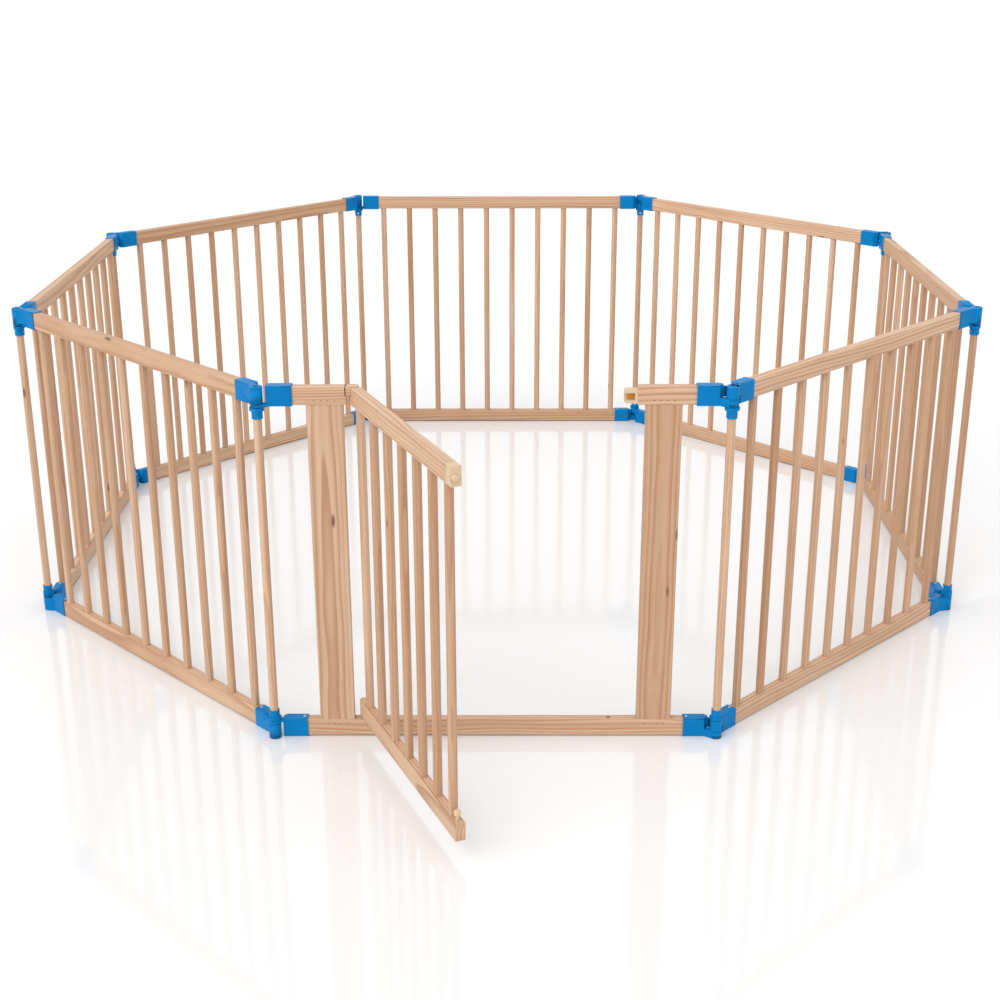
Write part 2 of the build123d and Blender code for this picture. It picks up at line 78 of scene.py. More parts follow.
def turned(piece, angle, middle=ring_middle):
    """Turns a piece about an upright axis, anticlockwise seen from above."""
    select_only(piece)
    bpy.ops.transform.rotate(value=-angle, orient_axis="Z", center_override=middle)
    return settle(piece)


def moved(piece, offset):
    """Shifts a piece and puts the shift into its mesh."""
    select_only(piece)
    bpy.ops.transform.translate(value=offset)
    return settle(piece)


def copy_of(piece, name):
    """Full copy of a piece under a new name."""
    select_only(piece)
    bpy.ops.object.duplicate(linked=False)
    made = bpy.context.active_object
    made.name = name
    return made


def joined(name, pieces):
    """Joins pieces into the first, under a new name."""
    select_only(*pieces)
    bpy.ops.object.join()
    pieces[0].name = name
    return pieces[0]


def mirrored(piece, middle=ring_middle):
    """Mirror image left to right about the middle of the front panel."""
    select_only(piece)
    bpy.ops.transform.resize(value=(-1, 1, 1), center_override=middle)
    settle(piece)
    return faces_outward(piece)


def faces_outward(piece):
    """Merges doubled points and points every face outwards."""
    select_only(piece)
    bpy.ops.object.mode_set(mode="EDIT")
    bpy.ops.mesh.select_all(action="SELECT")
    bpy.ops.mesh.remove_doubles(threshold=0.000002)
    bpy.ops.mesh.normals_make_consistent(inside=False)
    bpy.ops.object.mode_set(mode="OBJECT")
    return piece


# ---- Pine rails -------------------------------------------------------------------------------
# Planed pine battens along the top and bottom of every panel, the long edges eased, clear
# lacquered. They are bored for the bars, and their ends sit in the plastic corner sleeves.
rail_low, rail_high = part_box("gate_panel_sill")
top_rail_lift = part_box("back_panel_top_rail")[0].z - rail_low.z
rail_height = rail_high.z - rail_low.z
rail_thickness = rail_high.y - rail_low.y
rail_y = (rail_low.y + rail_high.y) / 2
rail_edge = 0.0015


def block(name, low, high):
    """Squared piece between two corners, ready to be shaped."""
    bpy.ops.object.select_all(action="DESELECT")
    low, high = Vector(low), Vector(high)
    bpy.ops.mesh.primitive_cube_add(size=1, location=(low + high) / 2, scale=high - low)
    piece = bpy.context.active_object
    piece.name = name
    return settle(piece)


def pick(piece, kind, test):
    """Leaves the piece in edit mode with the edges or faces that pass the test selected."""
    select_only(piece)
    mesh = piece.data
    bpy.ops.object.mode_set(mode="EDIT")
    bpy.ops.mesh.select_mode(type="EDGE" if kind == "edges" else "FACE")
    bpy.ops.mesh.select_all(action="DESELECT")
    bpy.ops.object.mode_set(mode="OBJECT")
    for part in mesh.edges if kind == "edges" else mesh.polygons:
        part.select = test(*[mesh.vertices[i].co for i in part.vertices])
    bpy.ops.object.mode_set(mode="EDIT")


def eased(piece, test, radius, segments=3):
    """Rounds the edges that pass the test."""
    pick(piece, "edges", test)
    bpy.ops.mesh.bevel(offset=radius, segments=segments, affect="EDGES", clamp_overlap=True)
    bpy.ops.object.mode_set(mode="OBJECT")
    return piece


def lies_along(axis):
    """Test for edges parallel to an axis."""
    def test(a, b):
        line = b - a
        return abs(line[axis]) > 0.999 * line.length
    return test


def smooth(piece, angle=35):
    """Shades smooth across every edge flatter than the angle."""
    select_only(piece)
    bpy.ops.object.shade_smooth_by_angle(angle=math.radians(angle))
    return piece


def softened(piece, width, segments=2, angle=35):
    """Breaks every sharp edge, as a moulding or a sanded joint has."""
    select_only(piece)
    bevel = piece.modifiers.new("break_edges", "BEVEL")
    bevel.width = width
    bevel.segments = segments
    bevel.limit_method = "ANGLE"
    bevel.angle_limit = math.radians(angle)
    bpy.ops.object.modifier_apply(modifier=bevel.name)
    return smooth(piece)


def from_log(piece, grain, seed, flat_sawn=False):
    """Writes where each point of a wooden piece lay in its log, and how warm its tone is."""
    dice = random.Random(seed)
    along = "XYZ".index(grain)
    across, through = [i for i in (0, 1, 2) if i != along]
    middle = sum((Vector(corner) for corner in piece.bound_box), Vector()) / 8
    angle = math.pi / 2 + dice.uniform(-0.25, 0.25) if flat_sawn else dice.uniform(0, math.tau)
    heart = dice.uniform(0.028, 0.05) if flat_sawn else dice.uniform(0.03, 0.09)
    start = Vector((dice.uniform(0, 40), heart * math.cos(angle), heart * math.sin(angle)))
    places, tone = [], dice.random()
    for vertex in piece.data.vertices:
        place = vertex.co - middle
        places += (Vector((place[along], place[across], place[through])) + start)[:]
    log = piece.data.attributes.new("log_place", "FLOAT_VECTOR", "POINT")
    log.data.foreach_set("vector", places)
    warm = piece.data.attributes.new("tone", "FLOAT", "POINT")
    warm.data.foreach_set("value", [tone] * len(piece.data.vertices))
    return piece


class Wire:
    """A shader socket that adds a Math node whenever it is used in an expression."""

    def __init__(self, socket):
        self.socket = socket

    def math(self, operation, first, second):
        tree = self.socket.id_data
        node = tree.nodes.new("ShaderNodeMath")
        node.operation = operation
        for slot, value in zip(node.inputs, (first, second)):
            plug(tree, slot, value)
        return Wire(node.outputs[0])

    def __add__(self, other):
        return self.math("ADD", self, other)

    def __radd__(self, other):
        return self.math("ADD", other, self)

    def __sub__(self, other):
        return self.math("SUBTRACT", self, other)

    def __rsub__(self, other):
        return self.math("SUBTRACT", other, self)

    def __mul__(self, other):
        return self.math("MULTIPLY", self, other)

    def __rmul__(self, other):
        return self.math("MULTIPLY", other, self)

    def __truediv__(self, other):
        return self.math("DIVIDE", self, other)

    def __rtruediv__(self, other):
        return self.math("DIVIDE", other, self)


def plug(tree, slot, value):
    """Links a wire to a socket, or sets the socket's own value."""
    if isinstance(value, Wire):
        tree.links.new(value.socket, slot)
    else:
        slot.default_value = value


class Finish:
    """A material and the nodes that make it."""

    def __init__(self, name):
        self.material = bpy.data.materials.new(name)
        self.material.use_nodes = True
        self.tree = self.material.node_tree
        self.tree.nodes.clear()

    def node(self, kind, settings, sockets, output=0):
        """Adds a node: its settings first, then its sockets' values or links."""
        node = self.tree.nodes.new("ShaderNode" + kind)
        for key, value in settings.items():
            if key == "stops":
                set_stops(node.color_ramp.elements, value)
            else:
                setattr(node, key, value)
        for key, value in sockets.items():
            plug(self.tree, node.inputs[key], value)
        return Wire(node.outputs[output]) if node.outputs else node

    def mix(self, share, first, second, blend="MIX"):
        """Colour between two, which may be blended another way."""
        return self.node("Mix", {"data_type": "RGBA", "blend_type": blend},
                         {0: share, 6: first, 7: second}, 2)

    def surface(self, **sockets):
        """Closes the material with its Principled shader."""
        named = {key.replace("_", " "): value for key, value in sockets.items()}
        shader = self.node("BsdfPrincipled", {}, named)
        self.node("OutputMaterial", {}, {"Surface": shader})
        return self.material


def set_stops(elements, stops):
    """Sets the places and colours of a colour ramp."""
    for index, (place, colour) in enumerate(stops):
        stop = elements[index] if index < 2 else elements.new(place)
        stop.position = place
        stop.color = colour


def pine(name, pale, warm, ring_width, line_strength):
    """Lacquered pine: growth rings round the heart of the log, fibres, small knots."""
    look = Finish(name)
    place = look.node("Attribute", {"attribute_name": "log_place"}, {}, "Vector")
    tone = look.node("Attribute", {"attribute_name": "tone"}, {}, "Fac")
    slow = look.node("VectorMath", {"operation": "MULTIPLY"}, {0: place, 1: (1.7, 7.0, 7.0)})
    sway = look.node("TexNoise", {}, {"Vector": slow, "Scale": 1.0, "Detail": 2.0}, "Color")
    sway = look.node("VectorMath", {"operation": "SUBTRACT"}, {0: sway, 1: (0.5, 0.5, 0.5)})
    sway = look.node("VectorMath", {"operation": "MULTIPLY"}, {0: sway, 1: (0.0, 0.030, 0.030)})
    bent = look.node("VectorMath", {"operation": "ADD"}, {0: place, 1: sway})
    flat = look.node("VectorMath", {"operation": "MULTIPLY"}, {0: bent, 1: (0.0, 1.0, 1.0)})
    radius = look.node("VectorMath", {"operation": "LENGTH"}, {0: flat}, "Value")
    year = radius / ring_width
    season = look.node("Math", {"operation": "FRACT"}, {0: year})
    year_number = look.node("Math", {"operation": "FLOOR"}, {0: year})
    vigour = look.node("TexWhiteNoise", {"noise_dimensions": "1D"}, {"W": year_number})
    late = look.node("MapRange", {"interpolation_type": "SMOOTHSTEP"},
                     {"Value": season, "From Min": 0.25, "From Max": 0.9})
    closing = look.node("MapRange", {"interpolation_type": "SMOOTHSTEP"},
                        {"Value": season, "From Min": 0.92, "From Max": 1.0,
                         "To Min": 1.0, "To Max": 0.0})
    line = late * closing * (0.35 + 0.65 * vigour)
    fine = look.node("VectorMath", {"operation": "MULTIPLY"}, {0: bent, 1: (9.0, 620.0, 620.0)})
    fibre = look.node("TexNoise", {}, {"Vector": fine, "Scale": 1.0, "Detail": 3.0})
    broad = look.node("VectorMath", {"operation": "MULTIPLY"}, {0: bent, 1: (2.2, 45.0, 45.0)})
    cloud = look.node("TexNoise", {}, {"Vector": broad, "Scale": 1.0, "Detail": 3.0})
    cell = look.node("VectorMath", {"operation": "MULTIPLY"}, {0: place, 1: (4.0, 15.0, 15.0)})
    knot_gap = look.node("TexVoronoi", {}, {"Vector": cell, "Scale": 1.0}, "Distance")
    knot = look.node("MapRange", {"interpolation_type": "SMOOTHSTEP"},
                     {"Value": knot_gap, "From Min": 0.03, "From Max": 0.075,
                      "To Min": 1.0, "To Max": 0.0})
    ground = look.mix(tone, pale, warm)
    shaded = look.mix(cloud * 1.1 - 0.2, ground, [c * m for c, m in zip(warm, (0.84, 0.72, 0.60, 1))])
    lined = look.mix(line * line_strength, shaded, (0.33, 0.135, 0.055, 1))
    streaked = look.mix(fibre * 0.7 - 0.15, lined, (0.62, 0.42, 0.25, 1), "MULTIPLY")
    colour = look.mix(knot * 0.85, streaked, (0.12, 0.045, 0.016, 1))
    height = fibre * 0.6 + line * 0.4
    bump = look.node("Bump", {}, {"Strength": 0.25, "Distance": 0.0004, "Height": height})
    rough = 0.42 + fibre * 0.22 - line * 0.08
    return look.surface(Base_Color=colour, Roughness=rough, Normal=bump,
                        Coat_Weight=0.10, Coat_Roughness=0.3, Specular_IOR_Level=0.35)


def dress(piece, finish, slot, body, *nodes):
    """Evens a piece's shading, gives it material and body, and hides the nodes it stands for. The slot
    argument is not used.
    """
    select_only(piece)
    even = piece.modifiers.new("even_shading", "WEIGHTED_NORMAL")
    even.keep_sharp = True
    bpy.ops.object.modifier_apply(modifier=even.name)
    piece.data.materials.clear()
    piece.data.materials.append(finish)
    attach(piece, body)
    if nodes:
        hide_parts(*nodes)
    return piece


rail_pine = pine("pine_rail_lacquered", (0.72, 0.545, 0.40, 1), (0.55, 0.37, 0.24, 1), 0.0062, 0.7)

plain_rail = block("plain_rail", rail_low, rail_high)
eased(plain_rail, lies_along(0), rail_edge)
smooth(plain_rail)
for index, panel in enumerate(ring_order):
    if index == 0:
        continue
    for level, lift in (("bottom", 0.0), ("top", top_rail_lift)):
        rail = copy_of(plain_rail, panel + "_pine_" + level + "_rail")
        moved(rail, (0, 0, lift))
        from_log(rail, "X", rail.name)
        turned(rail, ring_step * index)
        dress(rail, rail_pine, "pine_rails", panel, panel + "_" + level + "_rail")


# ---- Round bars -------------------------------------------------------------------------------
# Turned pine dowels let into both rails, ten to a panel. Their ends are chamfered where they go
# into the rails, so a fine shadow shows round each one.
bar_radius = 0.0085
bar_count = 10
bar_chamfer = 0.001
bar_let_in = 0.004
bar_bottom = rail_high.z - bar_let_in
bar_top = rail_low.z + top_rail_lift + bar_let_in


def rod(name, x, y, z0, z1, radius, sides=32):
    """Upright round piece, ready to be shaped."""
    bpy.ops.object.select_all(action="DESELECT")
    bpy.ops.mesh.primitive_cylinder_add(vertices=sides, radius=radius, depth=z1 - z0,
                                        location=(x, y, (z0 + z1) / 2))
    piece = bpy.context.active_object
    piece.name = name
    return settle(piece)


def is_round_end(a, b):
    """Test for the edges of an upright rod's two ends."""
    return abs(b.z - a.z) < 0.00001


def bar_row(name, master, places):
    """Copies of one bar, each from its own stretch of wood, joined as a row."""
    made = []
    for number, x in enumerate(places):
        bar = copy_of(master, name + "_" + str(number))
        moved(bar, (x, 0, 0))
        made.append(from_log(bar, "Z", bar.name))
    return joined(name, made)


bar_pine = pine("pine_bar_lacquered", (0.67, 0.49, 0.35, 1), (0.49, 0.315, 0.20, 1), 0.0058, 0.5)
plain_bar = rod("plain_bar", 0, rail_y, bar_bottom, bar_top, bar_radius)
eased(plain_bar, is_round_end, bar_chamfer, 1)
smooth(plain_bar, 50)
bar_gap = panel_pitch / (bar_count + 1)
for index, panel in enumerate(ring_order):
    if index == 0:
        continue
    row = bar_row(panel + "_pine_bars", plain_bar,
                  [left_axis.x + bar_gap * (i + 1) for i in range(bar_count)])
    turned(row, ring_step * index)
    dress(row, bar_pine, "pine_bars", panel, panel + "_bars")


# ---- Corner fittings --------------------------------------------------------------------------
# Glossy blue mouldings pushed over the rail ends: a sleeve with rounded edges and a hinge knuckle.
# Some corners have two knuckles of half height, and the others a tall one that shares its pin
# with a thin ear on the next panel.
sleeve_start = 0.017
sleeve_end = 0.067
sleeve_low, sleeve_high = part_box("gate_panel_corner_fittings")
sleeve_thickness = sleeve_high.y - left_axis.y
sleeve_wall = (sleeve_thickness - rail_thickness) / 2
sleeve_height = rail_height + 2 * sleeve_wall
knuckle_radius = left_axis.x - sleeve_low.x
overall_height = sleeve_high.z
top_sleeve_z = overall_height - sleeve_height
low_knuckle_height = 0.016
tall_knuckle_height = 0.034
tall_corners = (0, 2, 5, 7)
ear_radius = 0.0125
knuckle_gap = 0.0006
lip_gap = 0.001
knuckle_notch = 0.007
mitre_gap = 0.0007
mitre_leg = sleeve_thickness + mitre_gap - sleeve_start
web_end = 0.021
web_inner = 0.009
pin_radius = 0.007
pin_play = 0.0002
sleeve_edge = 0.002
sleeve_mouth_edge = 0.0035
sleeve_pocket_depth = 0.015
sleeve_play = 0.0003
lip_inset = 0.003
moulded_edge = 0.0006
past = 0.001


def welded(piece, *others):
    """Adds other pieces to a piece, as one solid."""
    return boolean(piece, "UNION", others)


def carved(piece, *others):
    """Cuts other pieces out of a piece."""
    return boolean(piece, "DIFFERENCE", others)


def boolean(piece, operation, others):
    """Applies one boolean for each of the others and uses them up."""
    for other in others:
        select_only(piece)
        step = piece.modifiers.new(operation.lower(), "BOOLEAN")
        step.operation = operation
        step.solver = "EXACT"
        step.object = other
        bpy.ops.object.modifier_apply(modifier=step.name)
        bpy.data.objects.remove(other, do_unlink=True)
    return piece


def knuckle_span(low, tall):
    """Heights of a panel's own knuckle; low panels have the ear beside a tall one."""
    split = tall_knuckle_height if tall else low_knuckle_height
    return (0, split) if low != tall else (split + knuckle_gap, sleeve_height)


def knuckle_web(z0, z1, radius):
    """Web between knuckle and sleeve, sliced off along the tangent to the knuckle."""
    x, y = left_axis.x, left_axis.y
    lean = math.acos(radius / web_end)
    touch = Vector((radius * math.cos(lean), -radius * math.sin(lean), 0))
    web = block("web", (x, y + touch.y, z0), (x + web_end, y + web_inner, z1))
    return sliced(web, (x + web_end, y, z0), touch)


def sliced(piece, place, outward):
    """Cuts a piece along a plane and closes the cut."""
    pick(piece, "faces", lambda *corners: True)
    bpy.ops.mesh.bisect(plane_co=place, plane_no=Vector(outward).normalized(),
                        use_fill=True, clear_outer=True)
    bpy.ops.object.mode_set(mode="OBJECT")
    return piece


def sleeve_lip(z0, z1):
    """Lip that follows the next panel's knuckle, inside the mitre."""
    x, y = left_axis.x, left_axis.y
    front = web_inner + lip_gap / 2
    lip = block("lip", (x + front, y + front, z0), (x + sleeve_start + past, y + sleeve_start, z1))
    sliced(lip, (x + front + mitre_gap * 1.5, y + front, z0), (-1, 1, 0))
    return carved(lip, rod("room", x, y, z0 - past, z1 + past, knuckle_radius + lip_gap, 64))


def corner_fitting(name, low, tall):
    """Sleeve and knuckle at the left end of the bottom rail."""
    x, y = left_axis.x, left_axis.y
    sleeve = block(name, (x + sleeve_start, y, 0), (x + sleeve_end, y + sleeve_thickness, sleeve_height))
    eased(sleeve, lambda a, b: lies_along(2)(a, b) and a.x < x + 0.02 and a.y > y + 0.01, mitre_leg, 1)
    eased(sleeve, lies_along(0), sleeve_edge, 4)
    eased(sleeve, lambda a, b: lies_along(1)(a, b) and a.x > x + sleeve_end - past, sleeve_mouth_edge, 5)
    if not tall:
        z0, z1 = knuckle_span(not low, tall)
        bottom, top = (-past, z1 + knuckle_gap) if z0 == 0 else (z0 - knuckle_gap, z1 + past)
        notch = block("notch", (x, y - 0.01, bottom),
                      (x + sleeve_start + knuckle_notch, y + web_inner, top))
        carved(sleeve, notch)
        welded(sleeve, sleeve_lip(max(z0, lip_inset), min(z1, sleeve_height - lip_inset)))
    wall = sleeve_wall - sleeve_play
    pocket = block("pocket", (x + sleeve_end - sleeve_pocket_depth, y + wall, wall),
                   (x + sleeve_end + 0.01, y + sleeve_thickness - wall, sleeve_height - wall))
    carved(sleeve, pocket)
    z0, z1 = knuckle_span(low, tall)
    radius = ear_radius if low and tall else knuckle_radius
    welded(sleeve, knuckle_web(z0, z1, radius), rod("knuckle", x, y, z0, z1, radius, 48))
    carved(sleeve, rod("bore", x, y, -past, sleeve_height + past, pin_radius + pin_play, 48))
    return softened(sleeve, moulded_edge)


def at_top(piece, mirror_up):
    """Moves a bottom piece to the top rail, the same way up or mirrored."""
    if not mirror_up:
        return moved(piece, (0, 0, top_sleeve_z))
    select_only(piece)
    bpy.ops.transform.resize(value=(1, 1, -1), center_override=(0, 0, overall_height / 2))
    settle(piece)
    return faces_outward(piece)


def both_levels(name, master, mirror_up):
    """A piece on the bottom rail and its fellow on the top rail, joined."""
    return joined(name, [copy_of(master, name), at_top(copy_of(master, name + "_top"), mirror_up)])


def four_corners(name, master):
    """Copies of a left bottom piece at all four corners of the front panel, mirrored."""
    left = both_levels(name, master, True)
    return joined(name, [left, mirrored(copy_of(left, name + "_right"))])


def blue_moulding(name):
    """Glossy polypropylene with the faint grain of its mould."""
    look = Finish(name)
    place = look.node("TexCoord", {}, {}, "Object")
    drift = look.node("TexNoise", {}, {"Vector": place, "Scale": 14.0, "Detail": 3.0})
    grain = look.node("TexNoise", {}, {"Vector": place, "Scale": 1400.0, "Detail": 2.0})
    flow = look.node("VectorMath", {"operation": "MULTIPLY"}, {0: place, 1: (60.0, 60.0, 260.0)})
    smear = look.node("TexNoise", {}, {"Vector": flow, "Scale": 1.0, "Detail": 4.0})
    colour = look.mix(drift * 0.7 + smear * 0.3, (0.0, 0.125, 0.34, 1), (0.0, 0.20, 0.49, 1))
    height = grain * 0.4 + smear * 0.6
    bump = look.node("Bump", {}, {"Strength": 0.12, "Distance": 0.0003, "Height": height})
    rough = 0.24 + smear * 0.16
    return look.surface(Base_Color=colour, Roughness=rough, Normal=bump,
                        Coat_Weight=0.02, Coat_Roughness=0.12, Specular_IOR_Level=0.08)


blue_plastic = blue_moulding("blue_moulded_plastic")
fitting_pairs = {}
for low in (True, False):
    for tall in (True, False):
        label = ("low_" if low else "high_") + ("tall" if tall else "split")
        single = corner_fitting(label + "_fitting", low, tall)
        fitting_pairs[low, tall] = both_levels(label + "_pair", single, tall)
        bpy.data.objects.remove(single, do_unlink=True)
for index, panel in enumerate(ring_order):
    low = index % 2 == 0
    left_pair = fitting_pairs[low, index in tall_corners]
    right_pair = fitting_pairs[low, (index + 1) % len(ring_order) in tall_corners]
    fittings = joined(panel + "_blue_fittings", [copy_of(left_pair, panel + "_blue_fittings"),
                                                 mirrored(copy_of(right_pair, "right_fittings"))])
    turned(fittings, ring_step * index)
    dress(fittings, blue_plastic, "blue_plastic", panel, panel + "_corner_fittings")
for pair in fitting_pairs.values():
    bpy.data.objects.remove(pair, do_unlink=True)


# ---- Post sockets -----------------------------------------------------------------------------
# Blue mouldings that are hinge pin and post socket in one: a hollow pin through both knuckles, a
# stepped collar with two lugs, and a cup that holds the end of the corner post.
collar_radius = 0.0125
collar_height = 0.007
collar_lug = 0.0141
collar_lug_width = 0.007
cup_radius = 0.01075
cup_height = 0.015
post_radius = 0.0085
socket_lift = knuckle_gap
pin_foot = 0.0008
cup_floor = 0.004
pin_hollow_depth = 0.012
pin_hollow_radius = 0.0042


def post_socket(name):
    """Bottom left socket, standing on the upper knuckle."""
    x, y = left_axis.x, left_axis.y
    seat = sleeve_height + socket_lift
    socket = rod(name, x, y, pin_foot, seat + past, pin_radius, 48)
    collar = rod("collar", x, y, seat, seat + collar_height, collar_radius, 48)
    eased(collar, is_round_end, 0.0007, 2)
    lugs = block("lugs", (x - collar_lug, y - collar_lug_width / 2, seat),
                 (x + collar_lug, y + collar_lug_width / 2, seat + collar_height))
    cup_foot = seat + collar_height
    cup = rod("cup", x, y, cup_foot - past, cup_foot + cup_height, cup_radius, 48)
    welded(socket, collar, lugs, cup)
    post_room = rod("post_room", x, y, cup_foot + cup_floor, seat + 0.1, post_radius + pin_play, 48)
    hollow = rod("hollow", x, y, -past, pin_hollow_depth, pin_hollow_radius, 32)
    carved(socket, post_room, hollow)
    return softened(socket, 0.0005)


single_socket = post_socket("single_socket")
socket_set = four_corners("socket_set", single_socket)
bpy.data.objects.remove(single_socket, do_unlink=True)
for index, panel in enumerate(ring_order):
    if index % 2 == 0:
        sockets = copy_of(socket_set, panel + "_blue_post_sockets")
        turned(sockets, ring_step * index)
        dress(sockets, blue_plastic, "blue_plastic", panel, panel + "_post_sockets")


# ---- Corner posts -----------------------------------------------------------------------------
# Round pine posts between the sockets of every corner, cut from the same dowel as the bars.
post_low, post_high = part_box("gate_panel_corner_posts")
plain_post = rod("plain_post", 0, left_axis.y, post_low.z, post_high.z, post_radius)
eased(plain_post, is_round_end, bar_chamfer, 1)
smooth(plain_post, 50)
for index, panel in enumerate(ring_order):
    if index % 2 == 0:
        posts = bar_row(panel + "_pine_posts", plain_post, (left_axis.x, right_axis.x))
        turned(posts, ring_step * index)
        dress(posts, bar_pine, "pine_bars", panel, panel + "_corner_posts")


# ---- Screws -----------------------------------------------------------------------------------
# Small zinc-plated cross-head screws: one through each sleeve into its rail, and one through each
# cup into its post, on the inner side.
screw_head_radius = 0.0032
screw_head_height = 0.0016
screw_slot = 0.0009
screw_x = left_axis.x + sleeve_end - 0.007


def screw_head(name):
    """Domed head with a cross recess, standing on the origin."""
    head = rod(name, 0, 0, -0.0006, screw_head_height, screw_head_radius, 28)
    eased(head, lambda a, b: is_round_end(a, b) and a.z > 0, screw_head_height * 0.55, 4)
    reach = screw_head_radius * 0.6
    for x, y in ((reach, screw_slot / 2), (screw_slot / 2, reach)):
        carved(head, block("recess", (-x, -y, screw_head_height / 2), (x, y, screw_head_height * 2)))
    return smooth(head)


def plated_steel(name):
    """Zinc-plated steel, slightly clouded."""
    look = Finish(name)
    place = look.node("TexCoord", {}, {}, "Object")
    cloud = look.node("TexNoise", {}, {"Vector": place, "Scale": 420.0, "Detail": 3.0})
    colour = look.mix(cloud, (0.45, 0.45, 0.44, 1), (0.66, 0.66, 0.64, 1))
    bump = look.node("Bump", {}, {"Strength": 0.15, "Distance": 0.0002, "Height": cloud})
    return look.surface(Base_Color=colour, Roughness=0.28 + cloud * 0.25, Normal=bump, Metallic=1.0)


steel = plated_steel("zinc_plated_steel")
master_screw = screw_head("master_screw")
upright = moved(copy_of(master_screw, "rail_screw"), (screw_x, rail_y, sleeve_height))
rail_screws = four_corners("rail_screws", upright)
select_only(master_screw)
bpy.ops.transform.rotate(value=math.pi / 2, orient_axis="X", center_override=(0, 0, 0))
settle(master_screw)
collar_screw_z = sleeve_height + socket_lift + collar_height + cup_height / 2
faces_inward = max(v.co.y for v in master_screw.data.vertices) > screw_head_height * 0.9
if not faces_inward:
    turned(master_screw, math.pi, Vector((0, 0, 0)))
moved(master_screw, (left_axis.x, left_axis.y + cup_radius - 0.0005, collar_screw_z))
collar_screws = four_corners("collar_screws", master_screw)
for index, panel in enumerate(ring_order):
    screws = copy_of(rail_screws, panel + "_steel_screws")
    if index % 2 == 0:
        screws = joined(screws.name, [screws, copy_of(collar_screws, "more_screws")])
    turned(screws, ring_step * index)
    dress(screws, steel, "steel_fasteners", panel, panel + "_screws")


# ---- Gate frame rails -------------------------------------------------------------------------
# The front panel has a full-length sill and two short top rails. The hinge-side rail ends in the
# rounded upper tongue of a half lap; the bolt drops into a hole in the sill.
gate_axis = hinge_place["gate_swing"]
gate_open = math.radians(next(j for j in frame["joints"] if j["name"] == "gate_swing")["range_deg"][1])
hinge_rail_low, hinge_rail_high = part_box("gate_panel_hinge_side_rail")
latch_rail_low, latch_rail_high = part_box("gate_panel_latch_side_rail")
lap_setback = 0.015
lap_gap = 0.0004
lap_z = hinge_rail_low.z + rail_height / 2
bolt_hole_radius = 0.0047
bolt_hole_depth = 0.014
bolt_hole_x = gate_axis.x + 0.497
joint_edge = 0.0004
board_width = 0.070
board_inset = 0.026
board_starts = (left_axis.x + sleeve_end + board_inset,
                right_axis.x - sleeve_end - board_inset - board_width)
brad_radius = 0.0011
brad_spacing = 0.013
brad_edge = 0.009
brad_depth = 0.0012


def brad_holes(start, z):
    """Four small holes in a row for the brads of one board end."""
    holes = []
    for number in range(4):
        x = start + board_width / 2 + (number - 1.5) * brad_spacing
        hole = rod("brad_hole", 0, 0, -brad_depth, brad_depth, brad_radius, 16)
        select_only(hole)
        bpy.ops.transform.rotate(value=math.pi / 2, orient_axis="X", center_override=(0, 0, 0))
        settle(hole)
        holes.append(moved(hole, (x, rail_low.y, z)))
    return joined("brad_holes", holes)


def tongue(z0, z1, side):
    """Rounded end of a half lap about the gate's axis, open towards one side."""
    x, y, half = gate_axis.x, rail_y, rail_thickness / 2
    x0, x1 = sorted((x, x + side * (lap_setback + 0.002)))
    arm = block("arm", (x0, y - half, z0), (x1, y + half, z1))
    return welded(arm, rod("end", x, y, z0, z1, half, 48))


sill = copy_of(plain_rail, "gate_sill_pine")
catch = rod("catch", bolt_hole_x, rail_y, rail_high.z - bolt_hole_depth, rail_high.z + 0.01,
            bolt_hole_radius, 32)
carved(sill, catch, *[brad_holes(start, rail_high.z - brad_edge) for start in board_starts])
smooth(sill)
from_log(sill, "X", "sill")
dress(sill, rail_pine, "pine_rails", "gate_panel", "gate_panel_sill")

hinge_rail = block("hinge_side_rail_pine", hinge_rail_low,
                   (gate_axis.x - lap_setback, hinge_rail_high.y, hinge_rail_high.z))
eased(hinge_rail, lies_along(0), rail_edge)
welded(hinge_rail, tongue(lap_z + lap_gap / 2, hinge_rail_high.z, -1))
carved(hinge_rail, brad_holes(board_starts[0], hinge_rail_low.z + brad_edge))
softened(hinge_rail, joint_edge)
from_log(hinge_rail, "X", "hinge rail")
dress(hinge_rail, rail_pine, "pine_rails", "gate_panel", "gate_panel_hinge_side_rail")

latch_rail = block("latch_side_rail_pine", latch_rail_low, latch_rail_high)
eased(latch_rail, lies_along(0), rail_edge)
carved(latch_rail, brad_holes(board_starts[1], latch_rail_low.z + brad_edge))
softened(latch_rail, joint_edge)
from_log(latch_rail, "X", "latch rail")
dress(latch_rail, rail_pine, "pine_rails", "gate_panel", "gate_panel_latch_side_rail")


# ---- Boards beside the gate -------------------------------------------------------------------
# Flat-sawn pine boards, tenoned into the sill and the short rails and pinned with four brads at
# each end. The latch-side one has a small bored hole high in its edge.
board_low, board_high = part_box("gate_panel_boards")
board_edge = 0.0015
board_hole_radius = 0.0025
board_hole_depth = 0.016
board_hole_drop = 0.016
board_pine = pine("pine_board_lacquered", (0.71, 0.535, 0.39, 1), (0.53, 0.355, 0.235, 1), 0.0085, 0.6)
boards = []
for start, seed in zip(board_starts, ("hinge board", "latch board")):
    board = block("board", (start, board_low.y, rail_high.z),
                  (start + board_width, board_high.y, latch_rail_low.z))
    eased(board, lies_along(2), board_edge)
    if seed == "latch board":
        hole = rod("hole", 0, 0, -0.01, board_hole_depth, board_hole_radius, 24)
        select_only(hole)
        bpy.ops.transform.rotate(value=math.pi / 2, orient_axis="Y", center_override=(0, 0, 0))
        settle(hole)
        carved(board, moved(hole, (start, rail_y, latch_rail_low.z - board_hole_drop)))
    smooth(board)
    boards.append(from_log(board, "Z", seed, flat_sawn=True))
boards = joined("gate_boards_pine", boards)
dress(boards, board_pine, "pine_boards", "gate_panel", "gate_panel_boards")
